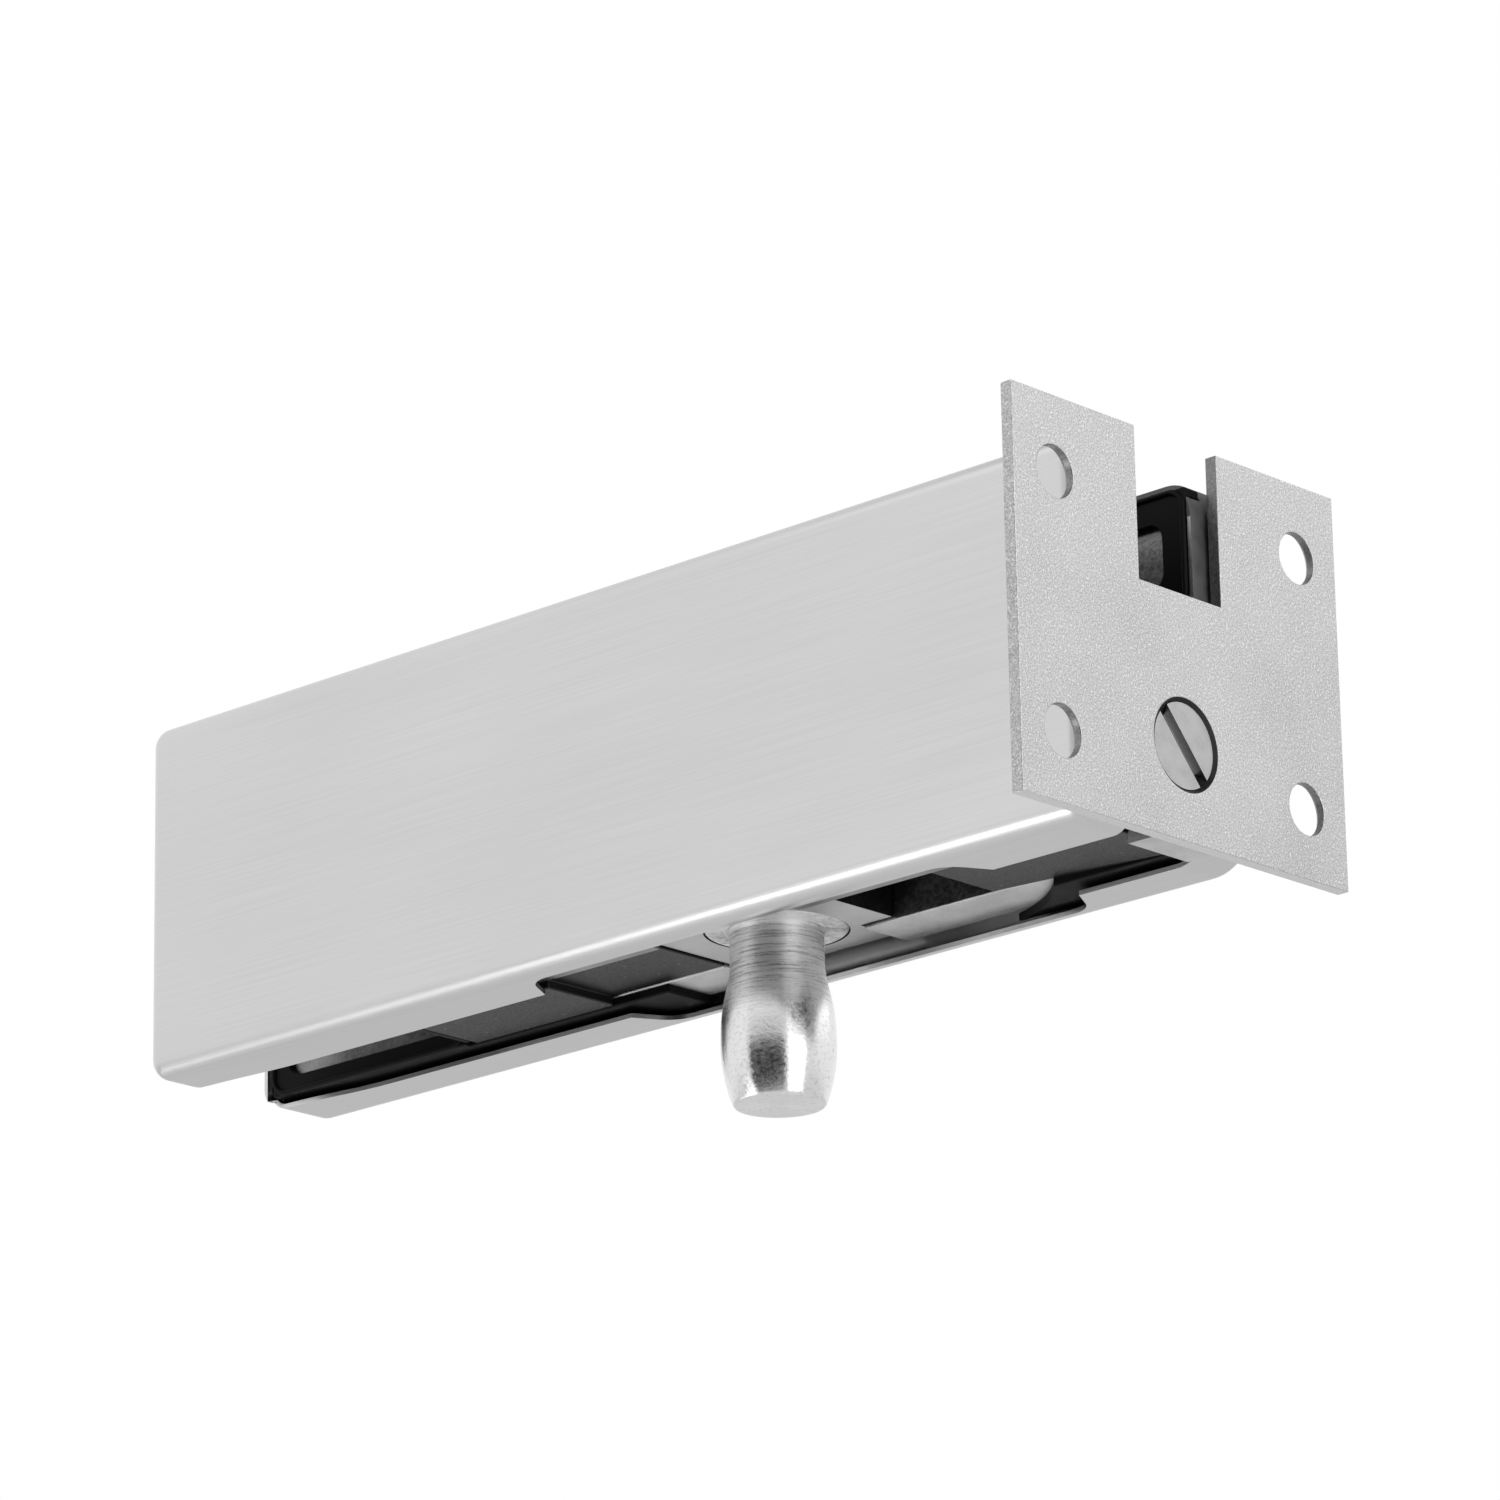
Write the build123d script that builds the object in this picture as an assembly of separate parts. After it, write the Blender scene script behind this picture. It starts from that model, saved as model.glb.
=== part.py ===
from build123d import *
import os

# Glass patch fitting for an overpanel: two pressed covers over a cast clamp, a pivot pin, a wall plate.
# Origin at the middle of the pin's barrel, +X to the wall, +Y to the back, +Z up. Millimetres.
# Pieces are drawn with z from the covers' underside and raised to the origin at the end.

# Covers
cover_length = 164.0
cover_height = 48.8
cover_depth = 33.0
cover_sheet = 0.6
cover_fold_radius = 2.5
cover_inner_chamfer = 1.3
cover_glass_corner_radius = 2.8
cover_wall_corner_radius = 6.5
flange_depth = 8.6
end_wall_depth = 11.4
pivot_setback = 65.0

# Notch in each bottom flange, round the pivot
notch_left = -33.0
notch_right = 43.0
notch_inner = 13.5
notch_slope_run = 3.0
notch_corner_radius = 4.5

# Glass gap and rubber liners
glass_gap = 10.0
liner_thickness = 1.0
liner_lip_thickness = 1.2
liner_lip_setback = 1.0
liner_window_radius = 3.0
liner_window_edge = 3.7
liner_window_foot = 2.4
liner_slot_height = 8.1
liner_slot_radius = 2.0
liner_end_setback = 1.0
liner_slot_end = 3.8
liner_bridge = 12.0
liner_notch_clearance = 0.2
bare_left = -24.6
front_lip_end = -36.0
bare_right = 41.4
bare_arc_left = 18.0
bare_arc_middle = (32.0, 12.8)

# Cast clamp bodies
body_side_clearance = 0.3
body_end_clearance = 0.2
body_bottom = 2.5
body_top_gap = 3.2
body_plate_thickness = 1.8
body_glass_corner_chamfer = 2.5
body_wall_corner_chamfer = 3.6
body_edge_chamfer = 1.5
pocket_floor = 3.4
pocket_wall = 3.2
pocket_radius = 3.0
pocket_shelf = 31.6

# Moulded filler for the glass notch, between the halves
filler_left = -59.3
filler_notch_radius = 10.0
filler_bottom = 1.5
filler_step_left = -34.3
filler_step_bottom = 2.7
filler_ramp_end_bottom = 1.3
filler_top = 30.0
filler_pocket_right = 30.8
edge_liner_thickness = 1.0

# Pivot block and pin
block_bottom = 3.0
block_half_width = 14.3
block_top = 27.0
block_wing_right = 9.0
block_wing_top = 14.0
block_wing_reach = 14.4
block_wing_radius = 3.0
block_clearance = 0.3
pin_neck_diameter = 11.9
pin_neck_end = -3.2
pin_barrel_diameter = 14.56
pin_barrel_land_top = -10.3
pin_barrel_land = 3.0
pin_end_diameter = 11.8
pin_tip = -19.7
pin_shoulder_diameter = 13.5
pin_shoulder_height = -5.9
pin_collar_diameter = 18.2
pin_collar_height = 3.5
pin_collar_gap = 0.15
pin_shank_diameter = 10.0
pin_shank_top = 16.0
block_bore_end_gap = 1.0
pin_shank_clearance = 0.03
set_screw_diameter = 6.0
set_screw_length = 8.0
set_screw_height = 11.5
set_screw_socket = 3.0
set_screw_socket_depth = 3.0

# Clamp screws, heads in the front body
clamp_screw_diameter = 6.0
clamp_screw_head_diameter = 10.0
clamp_screw_head_height = 6.0
clamp_screw_head_setback = 0.3
clamp_screw_socket = 5.0
clamp_screw_socket_depth = 3.0
clamp_screw_length = 25.0
clamp_hole_clearance = 0.3
clamp_thread_clearance = 0.05
clamp_counterbore_diameter = 11.0
clamp_screw_low = (-46.0, 14.0)
clamp_screw_middle = (0.0, 22.2)
clamp_screw_high = (44.0, 21.2)

# Wall plate, its spacer and screw
plate_width = 60.3
plate_height = 51.0
plate_thickness = 1.7
plate_bottom = -0.3
plate_cover_gap = 0.5
plate_slot_width = 15.3
plate_slot_depth = 19.6
plate_hole_diameter = 6.6
plate_hole_spacing_y = 45.3
plate_hole_spacing_z = 32.3
plate_hole_bottom = 8.7
spacer_thickness = 4.3
spacer_front = -4.2
spacer_back = 6.8
spacer_top = 27.0
wall_screw_height = 11.9
wall_screw_diameter = 6.0
wall_screw_head_diameter = 11.3
wall_screw_length = 20.0
wall_screw_recess = 0.25
wall_screw_edge_gap = 0.3
wall_screw_slot_width = 1.8
wall_screw_slot_depth = 1.2
wall_screw_slot_angle = -49.0

# Spring clips that hold the covers
clip_width = 10.0
clip_thickness = 0.5
clip_leg = 5.0
clip_gap = 0.1
clip_side_clearance = 0.8

# Overrun of cuts past the faces that they open
over = 1.0

# Places worked out from the driving sizes
cover_face = cover_depth / 2
cover_right = pivot_setback
cover_left = cover_right - cover_length
flange_edge = cover_face - flange_depth
end_wall_edge = cover_face - end_wall_depth
liner_face = glass_gap / 2
body_face = liner_face + liner_thickness
body_back = cover_face - cover_sheet - body_side_clearance
body_left = cover_left + cover_sheet + body_end_clearance
body_right = cover_right - cover_sheet - body_end_clearance
body_top = cover_height - body_top_gap
plate_inner = cover_right + plate_cover_gap
plate_outer = plate_inner + plate_thickness
spacer_left = plate_inner - spacer_thickness
filler_right = spacer_left
pocket_left = -block_half_width - block_clearance
pocket_top = block_top + block_clearance
pocket_grip_left = body_left + pocket_wall
pocket_grip_right = filler_left - pocket_wall
pocket_bay = (body_right - pocket_grip_right) / 2
clip_places = [(pocket_grip_left + pocket_grip_right) / 2, pocket_grip_right + 1.5 * pocket_bay]
clamp_screw_places = [clamp_screw_low, clamp_screw_middle, clamp_screw_high]
clamp_head_top = -body_back + clamp_screw_head_setback
clamp_head_seat = clamp_head_top + clamp_screw_head_height
clamp_screw_tip = clamp_head_seat + clamp_screw_length
lift = pin_barrel_land / 2 - pin_barrel_land_top


def face_plane(y):
    """Drawing plane at depth y: x is X, y is Z, and it extrudes towards the front."""
    return Plane.XZ.offset(-y)


def slab(x0, x1, z0, z1, y_front, y_back, radius=0.0):
    """Upright slab between two depths, its outline seen from the front."""
    with BuildPart() as part:
        with BuildSketch(face_plane(y_back)):
            with Locations(((x0 + x1) / 2, (z0 + z1) / 2)):
                if radius > 0:
                    RectangleRounded(x1 - x0, z1 - z0, radius)
                else:
                    Rectangle(x1 - x0, z1 - z0)
        extrude(amount=y_back - y_front)
    return part.part


def rod_y(x, z, diameter, y_front, y_back):
    """Round bar along Y."""
    with BuildPart() as part:
        with BuildSketch(face_plane(y_back)):
            with Locations((x, z)):
                Circle(diameter / 2)
        extrude(amount=y_back - y_front)
    return part.part


def rod_x(y, z, diameter, x0, x1):
    """Round bar along X."""
    with BuildPart() as part:
        with BuildSketch(Plane.YZ.offset(x0)):
            with Locations((y, z)):
                Circle(diameter / 2)
        extrude(amount=x1 - x0)
    return part.part


def rod_z(diameter, z0, z1):
    """Round bar along the pivot axis."""
    with BuildPart() as part:
        with BuildSketch(Plane.XY.offset(z0)):
            Circle(diameter / 2)
        extrude(amount=z1 - z0)
    return part.part


def sunk_cone(y, z, neck, mouth, x_mouth):
    """Countersink of 90 degrees about X, narrowing away from the wall."""
    with BuildPart() as part:
        with BuildSketch(Plane.YZ.offset(x_mouth - (mouth - neck) / 2)):
            with Locations((y, z)):
                Circle(neck / 2)
        with BuildSketch(Plane.YZ.offset(x_mouth)):
            with Locations((y, z)):
                Circle(mouth / 2)
        loft()
    return part.part


def hex_y(x, z, width, y_front, y_back):
    """Hexagonal bar along Y, width across flats."""
    with BuildPart() as part:
        with BuildSketch(face_plane(y_back)):
            with Locations((x, z)):
                RegularPolygon(width / 2, 6, major_radius=False)
        extrude(amount=y_back - y_front)
    return part.part


def notch_cutter():
    """Opening in the bottom flange round the pivot, in plan, with sloped rounded ends."""
    reach = flange_edge - cover_sheet
    with BuildPart() as part:
        with BuildSketch(Plane.XY.offset(-cover_sheet)) as outline:
            with BuildLine():
                Polyline(
                    (notch_left, reach),
                    (notch_left, flange_edge),
                    (notch_left + notch_slope_run, notch_inner),
                    (notch_right - notch_slope_run, notch_inner),
                    (notch_right, flange_edge),
                    (notch_right, reach),
                    close=True,
                )
            make_face()
            deep = outline.vertices().sort_by(Axis.Y)[-2:]
            fillet(deep, notch_corner_radius)
        extrude(amount=cover_sheet * 3)
    return part.part


def tray_block(inset, y_front):
    """Solid with a cover's rounded outline, inset by a wall on every closed side."""
    with BuildPart() as part:
        with BuildSketch(face_plane(cover_face - inset)) as outline:
            with Locations(((cover_left + cover_right) / 2, cover_height / 2)):
                Rectangle(cover_length - 2 * inset, cover_height - 2 * inset)
            fillet(outline.vertices().sort_by(Axis.X)[:2], cover_glass_corner_radius - inset)
            fillet(outline.vertices().sort_by(Axis.X)[-2:], cover_wall_corner_radius - inset)
        extrude(amount=cover_face - inset - y_front)
    return part.part


def rear_cover():
    """Sheet metal tray: face, two flanges, deeper end walls, and the notch below."""
    outside = tray_block(0.0, end_wall_edge)
    outside = fillet(outside.faces().sort_by(Axis.Y)[-1].edges(), cover_fold_radius)
    inside = tray_block(cover_sheet, end_wall_edge - cover_sheet)
    inside = chamfer(inside.faces().sort_by(Axis.Y)[-1].edges(), cover_inner_chamfer)
    before_flanges = slab(cover_left + cover_sheet, cover_right - cover_sheet, -cover_sheet,
                          cover_height + cover_sheet, end_wall_edge - cover_sheet, flange_edge)
    return outside - inside - before_flanges - notch_cutter() - spacer_space()


def front_cover():
    """Front tray, the mirror of the rear one."""
    return mirror(rear_cover(), about=Plane.XZ)


def body_blank():
    """Cast half: a plate that meets the glass and a smaller core inside the cover."""
    plate = slab(body_left, body_right, body_bottom, body_top,
                 body_face, body_face + body_plate_thickness)
    core = slab(body_left, body_right, body_bottom, body_top,
                body_face + body_plate_thickness, body_back)
    core = chamfer(core.edges().filter_by(Axis.Y).sort_by(Axis.X)[:2], body_glass_corner_chamfer)
    core = chamfer(core.edges().filter_by(Axis.Y).sort_by(Axis.X)[-2:], body_wall_corner_chamfer)
    core = chamfer(core.faces().sort_by(Axis.Y)[-1].edges(), body_edge_chamfer)
    blank = plate + core
    for x in clip_places:
        blank -= slab(x - clip_width / 2 - clip_side_clearance, x + clip_width / 2 + clip_side_clearance,
                      body_top - pocket_wall - clip_thickness, body_top,
                      body_back - clip_thickness - clip_gap, body_back)
    return blank


def core_pockets():
    """Lightening pockets cast into the cover side, away from the screws and the pivot."""
    floor = body_face + pocket_floor
    high = body_top - pocket_wall
    pockets = slab(pocket_grip_left, pocket_grip_right, body_bottom + pocket_wall, high,
                   floor, body_back, pocket_radius)
    for i in range(2):
        start = pocket_grip_right + i * pocket_bay
        pockets += slab(start + pocket_wall, start + pocket_bay - pocket_wall, pocket_shelf, high,
                        floor, body_back)
    return pockets


def block_recess():
    """Space in a clamp body for a wing of the pivot block, open below and to the cover."""
    return slab(pocket_left, block_wing_right + block_clearance, body_bottom - over,
                block_wing_top + block_clearance, body_face, body_back + over)


def notch_filler():
    """Moulding between the halves, in the notch of the glass, with the pivot block's pocket."""
    with BuildPart() as part:
        with BuildSketch(face_plane(body_face)) as outline:
            with BuildLine():
                Polyline(
                    (filler_left, filler_bottom),
                    (filler_step_left, filler_bottom),
                    (filler_step_left, filler_step_bottom),
                    (pocket_left, filler_step_bottom),
                    (pocket_left, pocket_top),
                    (filler_pocket_right, pocket_top),
                    (filler_pocket_right, filler_step_bottom),
                    (filler_right, filler_ramp_end_bottom),
                    (filler_right, filler_top),
                    (filler_left, filler_top),
                    close=True,
                )
            make_face()
            glass_corner = outline.vertices().sort_by(Axis.X)[:2].sort_by(Axis.Y)[-1]
            fillet(glass_corner, filler_notch_radius)
        extrude(amount=2 * body_face)
    filler = part.part
    for x, z in clamp_screw_places:
        filler -= rod_y(x, z, clamp_screw_diameter + 2 * clamp_hole_clearance, -body_face, body_face)
    return filler - rod_x(0.0, wall_screw_height, wall_screw_diameter + 2 * clamp_thread_clearance,
                          plate_outer - wall_screw_length - over, filler_right)


def spacer_space():
    """Room for the wall plate's spacer at the wall end of a body, its liner and its cover."""
    return slab(spacer_left, cover_right + over, -over, spacer_top + block_clearance,
                0.0, spacer_back + block_clearance)


def rear_clamp_body():
    """Rear half, threaded for the clamp screws."""
    body = body_blank() - core_pockets() - block_recess() - spacer_space()
    for x, z in clamp_screw_places:
        body -= rod_y(x, z, clamp_screw_diameter + 2 * clamp_thread_clearance,
                      body_face, clamp_screw_tip + clamp_hole_clearance)
    return body


def front_clamp_body():
    """Front half with counterbores for the clamp screws' heads."""
    body = body_blank() - core_pockets() - block_recess() - spacer_space()
    body = mirror(body, about=Plane.XZ)
    for x, z in clamp_screw_places:
        body -= rod_y(x, z, clamp_screw_diameter + 2 * clamp_hole_clearance, -body_back - over, 0.0)
        body -= rod_y(x, z, clamp_counterbore_diameter, -body_back - over, clamp_head_seat)
    return body


def liner_windows():
    """Openings in a liner: a tall one where the glass is gripped and a long one over the filler."""
    low = body_bottom - liner_lip_thickness + liner_window_foot
    high = body_top + liner_lip_thickness - liner_window_edge
    left = body_left + liner_window_edge
    right = filler_left - liner_window_edge
    slot_top = (filler_top + edge_liner_thickness + body_top + liner_lip_thickness + liner_slot_height) / 2
    return (slab(left, right, low, high, 0.0, body_face, liner_window_radius)
            + slab(right + liner_bridge, body_right - liner_slot_end, slot_top - liner_slot_height, slot_top,
                   0.0, body_face, liner_slot_radius))


def liner_lip_cutter():
    """Bare stretch of clamp body beside the pivot, in plan, cut from the lower lip."""
    with BuildPart() as part:
        with BuildSketch(Plane.XY):
            with BuildLine():
                Polyline(
                    (bare_arc_left, body_back),
                    (bare_left, body_back),
                    (bare_left, 0.0),
                    (bare_right, 0.0),
                    (bare_right, liner_face),
                )
                ThreePointArc((bare_right, liner_face), bare_arc_middle, (bare_arc_left, body_back))
            make_face()
        extrude(amount=body_bottom)
    return part.part


def lip(x0, x1, z0, z1):
    """Length of a liner's lip along the edge of a clamp body, narrower at its core."""
    plate_back = body_face + body_plate_thickness
    core_left = max(x0, body_left + body_glass_corner_chamfer)
    core_right = min(x1, body_right - body_wall_corner_chamfer)
    return (slab(x0, x1, z0, z1, body_face, plate_back)
            + slab(core_left, core_right, z0, z1, plate_back, body_back - liner_lip_setback))


def clip_slot(y_front):
    """Cut-outs in the upper lip for the cover clips."""
    half = clip_width / 2 + clip_side_clearance
    slots = [slab(x - half, x + half, body_top, cover_height, y_front, body_back) for x in clip_places]
    return Part() + slots


def liner(lip_end):
    """Rubber liner: a face against the glass, a lip over the body and one under its glass end."""
    low = body_bottom - liner_lip_thickness
    high = body_top + liner_lip_thickness
    left = body_left + liner_end_setback
    rubber = slab(left, body_right, low, high, liner_face, body_face)
    rubber += lip(left, body_right, body_top, high)
    rubber += lip(left, lip_end, low, body_bottom)
    rubber -= clip_slot(body_back - clip_leg - clip_side_clearance)
    rubber -= notch_block(edge_liner_thickness + liner_notch_clearance, 0.0, body_face)
    rubber -= slab(filler_left - edge_liner_thickness - liner_notch_clearance, body_right, 0.0, filler_top,
                  0.0, body_face)
    return rubber - liner_windows() - spacer_space()


def rear_liner():
    """Liner of the rear half, its lip carried on into the notch of the cover."""
    return liner(bare_left)


def rear_lip_strip():
    """Strip of lip under the wall end of the rear half, with a rounded end at the bare stretch."""
    low = body_bottom - liner_lip_thickness
    strip = lip(bare_arc_left, body_right, low, body_bottom)
    return strip - liner_lip_cutter() - spacer_space()


def front_lip_strip():
    """Strip of lip under the wall end of the front half."""
    return mirror(rear_lip_strip(), about=Plane.XZ)


def front_liner():
    """Liner of the front half, its lip ended before the notch of the cover."""
    return mirror(liner(front_lip_end), about=Plane.XZ)


def notch_block(grow, y_front, y_back):
    """Block with the outline of the glass notch, grown on its glass sides."""
    with BuildPart() as part:
        with BuildSketch(face_plane(y_back)) as outline:
            with BuildLine():
                Polyline(
                    (filler_left - grow, filler_bottom),
                    (filler_right, filler_bottom),
                    (filler_right, filler_top + grow),
                    (filler_left - grow, filler_top + grow),
                    close=True,
                )
            make_face()
            glass_corner = outline.vertices().sort_by(Axis.X)[:2].sort_by(Axis.Y)[-1]
            fillet(glass_corner, filler_notch_radius + grow)
        extrude(amount=y_back - y_front)
    return part.part


def glass_edge_liner():
    """Rubber strip round the filler, on which the edge of the glass notch stands."""
    return (notch_block(edge_liner_thickness, -liner_face, liner_face)
            - notch_block(0.0, -body_face, body_face))


def pivot_block():
    """Cast block in the filler's pocket, with a wing into each half, that carries the pin."""
    filler_side = body_face - block_clearance
    core = slab(-block_half_width, block_half_width, block_bottom, block_top, -filler_side, filler_side)
    wing = slab(-block_half_width, block_wing_right, block_bottom, block_wing_top,
                filler_side, block_wing_reach)
    low_edge = wing.edges().filter_by(Axis.X).group_by(Axis.Z)[0].sort_by(Axis.Y)[-1]
    wing = fillet(low_edge, block_wing_radius)
    block = core + wing + mirror(wing, about=Plane.XZ)
    block -= rod_z(pin_collar_diameter + 2 * pin_collar_gap, block_bottom, block_bottom + pin_collar_height)
    block -= rod_z(pin_shank_diameter + 2 * pin_shank_clearance, block_bottom,
                   pin_shank_top + block_bore_end_gap)
    screw_x, screw_z = clamp_screw_middle
    block -= rod_y(screw_x, screw_z, clamp_screw_diameter + 2 * clamp_hole_clearance,
                   -body_face, body_face)
    block -= rod_x(0.0, set_screw_height, set_screw_diameter + 2 * clamp_thread_clearance,
                   0.0, block_half_width + over)
    return block


def pivot_pin():
    """Turned pin: shank and collar in the block, neck, crowned barrel with a short true land."""
    neck = pin_neck_diameter / 2
    barrel = pin_barrel_diameter / 2
    end = pin_end_diameter / 2
    collar_top = block_bottom + pin_collar_height
    land_bottom = pin_barrel_land_top - pin_barrel_land
    with BuildPart() as part:
        with BuildSketch(Plane.XZ):
            Polygon(
                (0.0, pin_shank_top),
                (pin_shank_diameter / 2, pin_shank_top),
                (pin_shank_diameter / 2, collar_top),
                (pin_collar_diameter / 2, collar_top),
                (pin_collar_diameter / 2, block_bottom),
                (neck, block_bottom),
                (neck, pin_neck_end),
                (pin_shoulder_diameter / 2, pin_shoulder_height),
                (barrel, pin_barrel_land_top),
                (barrel, land_bottom),
                (end, pin_tip),
                (0.0, pin_tip),
                align=None,
            )
        revolve(axis=Axis.Z)
    return part.part


def pin_set_screw():
    """Socket set screw that holds the pin's shank."""
    tip = pin_shank_diameter / 2 + pin_shank_clearance
    with BuildPart() as part:
        with BuildSketch(Plane.YZ.offset(tip)):
            with Locations((0, set_screw_height)):
                Circle(set_screw_diameter / 2)
        extrude(amount=set_screw_length)
        with BuildSketch(Plane.YZ.offset(tip + set_screw_length)):
            with Locations((0, set_screw_height)):
                RegularPolygon(set_screw_socket / 2, 6, major_radius=False)
        extrude(amount=-set_screw_socket_depth, mode=Mode.SUBTRACT)
    return part.part


def clamp_screw(x, z):
    """Socket cap screw from the front half into the rear half."""
    screw = rod_y(x, z, clamp_screw_head_diameter, clamp_head_top, clamp_head_seat)
    screw += rod_y(x, z, clamp_screw_diameter, clamp_head_seat, clamp_screw_tip)
    return screw - hex_y(x, z, clamp_screw_socket, clamp_head_top,
                         clamp_head_top + clamp_screw_socket_depth)


def clamp_screws():
    """The three clamp screws."""
    return Compound([clamp_screw(x, z) for x, z in clamp_screw_places])


def wall_plate():
    """Sheet plate with a slot for the glass, four fixing holes and a countersink."""
    middle_z = plate_bottom + plate_height / 2
    top = plate_bottom + plate_height
    with BuildPart() as part:
        with BuildSketch(Plane.YZ.offset(plate_inner)):
            with Locations((0, middle_z)):
                Rectangle(plate_width, plate_height)
            with Locations((0, top - plate_slot_depth / 2)):
                Rectangle(plate_slot_width, plate_slot_depth, mode=Mode.SUBTRACT)
            with Locations((0, plate_hole_bottom + plate_hole_spacing_z / 2)):
                with GridLocations(plate_hole_spacing_y, plate_hole_spacing_z, 2, 2):
                    Circle(plate_hole_diameter / 2, mode=Mode.SUBTRACT)
        extrude(amount=plate_thickness)
    return part.part - wall_screw_hole()


def wall_screw_hole():
    """Countersink in the plate, carried on as a plain hole through the spacer."""
    mouth = wall_screw_head_diameter + 2 * wall_screw_edge_gap
    neck = mouth - 2 * plate_thickness
    bore = rod_x(0.0, wall_screw_height, neck, spacer_left, plate_inner)
    return bore + sunk_cone(0.0, wall_screw_height, neck, mouth, plate_outer)


def wall_plate_spacer():
    """Block between the plate and the filler."""
    block = slab(spacer_left, plate_inner, 0.0, spacer_top, spacer_front, spacer_back)
    return block - wall_screw_hole()


def wall_plate_screw():
    """Slotted countersunk screw through the plate and the spacer into the filler."""
    top = plate_outer - wall_screw_recess
    screw = rod_x(0.0, wall_screw_height, wall_screw_diameter, top - wall_screw_length, top)
    screw += sunk_cone(0.0, wall_screw_height, wall_screw_diameter, wall_screw_head_diameter, top)
    with BuildPart() as slot:
        with BuildSketch(Plane.YZ.offset(top)):
            with Locations(Location((0, wall_screw_height), wall_screw_slot_angle)):
                Rectangle(wall_screw_head_diameter, wall_screw_slot_width)
        extrude(amount=-wall_screw_slot_depth)
    return screw - slot.part


def cover_clip(x):
    """Spring strip bent over the wall of a pocket, its upper leg humped against the cover's flange."""
    half = clip_thickness / 2
    below = body_top - pocket_wall - half
    above = body_top + half + clip_gap
    edge = body_back - half - clip_gap / 2
    crown = cover_height - cover_sheet - clip_gap - half
    with BuildPart() as part:
        with BuildSketch(Plane.YZ.offset(x - clip_width / 2)):
            with BuildLine() as path:
                Polyline(
                    (edge - clip_leg, below),
                    (edge, below),
                    (edge, above),
                    (edge - clip_leg / 2, crown),
                    (edge - clip_leg, above),
                )
            trace(path.line, clip_thickness)
        extrude(amount=clip_width)
    return part.part


def rear_cover_clips():
    """Two clips on the rear half."""
    return Compound([cover_clip(x) for x in clip_places])


def front_cover_clips():
    """Two clips on the front half."""
    return mirror(rear_cover_clips(), about=Plane.XZ)


pieces = {
    "front_cover": front_cover,
    "rear_cover": rear_cover,
    "front_clamp_body": front_clamp_body,
    "rear_clamp_body": rear_clamp_body,
    "notch_filler": notch_filler,
    "front_liner": front_liner,
    "rear_liner": rear_liner,
    "front_lip_strip": front_lip_strip,
    "rear_lip_strip": rear_lip_strip,
    "glass_edge_liner": glass_edge_liner,
    "pivot_block": pivot_block,
    "pivot_pin": pivot_pin,
    "pin_set_screw": pin_set_screw,
    "clamp_screws": clamp_screws,
    "wall_plate": wall_plate,
    "wall_plate_spacer": wall_plate_spacer,
    "wall_plate_screw": wall_plate_screw,
    "front_cover_clips": front_cover_clips,
    "rear_cover_clips": rear_cover_clips,
}

os.makedirs("parts", exist_ok=True)
for name, make in pieces.items():
    export_step(make().moved(Location((0, 0, lift))), f"parts/{name}.step")
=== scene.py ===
import bpy
import bmesh
import math
from collections import namedtuple
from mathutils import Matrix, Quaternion, Vector
from mathutils.geometry import interpolate_bezier


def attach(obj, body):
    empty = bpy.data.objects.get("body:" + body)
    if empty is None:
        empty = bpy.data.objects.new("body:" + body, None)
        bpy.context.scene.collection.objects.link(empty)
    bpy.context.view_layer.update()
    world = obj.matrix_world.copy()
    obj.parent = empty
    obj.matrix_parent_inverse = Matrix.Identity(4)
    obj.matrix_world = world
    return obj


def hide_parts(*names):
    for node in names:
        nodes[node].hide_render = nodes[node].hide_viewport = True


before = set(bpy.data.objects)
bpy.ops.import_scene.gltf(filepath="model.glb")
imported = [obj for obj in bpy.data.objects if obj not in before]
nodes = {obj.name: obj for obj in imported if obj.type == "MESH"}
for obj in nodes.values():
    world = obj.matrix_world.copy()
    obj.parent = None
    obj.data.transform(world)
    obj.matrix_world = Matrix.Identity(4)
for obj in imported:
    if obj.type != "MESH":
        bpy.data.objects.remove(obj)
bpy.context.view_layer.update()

# Sizes in millimetres. Heights count from the covers' underside, which lies LIFT above the frame's origin
LIFT = 11.8
COVER_LEFT, COVER_RIGHT, COVER_HEIGHT = -99.0, 65.0, 48.8
COVER_FACE, COVER_SHEET, FOLD_RADIUS = 16.5, 0.6, 2.5
FLANGE_EDGE, END_WALL_EDGE, SPACER_EDGE = 7.9, 5.1, 7.1
SPACER_SPACE_TOP = 27.3
COVER_EDGE_EASE = 0.27
GLASS_CORNER_RADIUS = 2.8
# Corners at the wall end by side, front -1 and rear 1: the front cover's are tighter than the rear one's
WALL_CORNER_RADIUS, WALL_TOP_RADIUS = {-1: 3.0, 1: 6.5}, {-1: 2.8, 1: 6.0}
# Degrees of the front cover's corners at the glass end that belong to its end wall; its flange has the rest
FRONT_WALL_TURN = 2.0
CORNER_STEP, FOLD_STEPS = 7.5, 12
NOTCH_LEFT, NOTCH_RIGHT, NOTCH_DEPTH = -33.0, 43.0, 13.5
NOTCH_SLOPE_RUN, NOTCH_RADIUS, NOTCH_STEPS = 3.0, 4.5, 12
# Towards the glass end the rear flange widens and the front one narrows, by side
FLANGE_SWEEP_START, FLANGE_SWEEP_END, FLANGE_SWEEP = -78.0, -96.0, {-1: -1.0, 1: 1.4}
FLANGE_CORNER, FLANGE_CORNER_INSET = 1.8, 0.6
# Places along straight edges that keep a cover's faces short
SWEEP_PLACES, NOTCH_PLACES = range(-95, -40, 3), (-15.0, 0.0, 15.0, 28.0)
TOP_PLACES = (40.0, 0.0, -40.0, -75.0)
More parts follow.
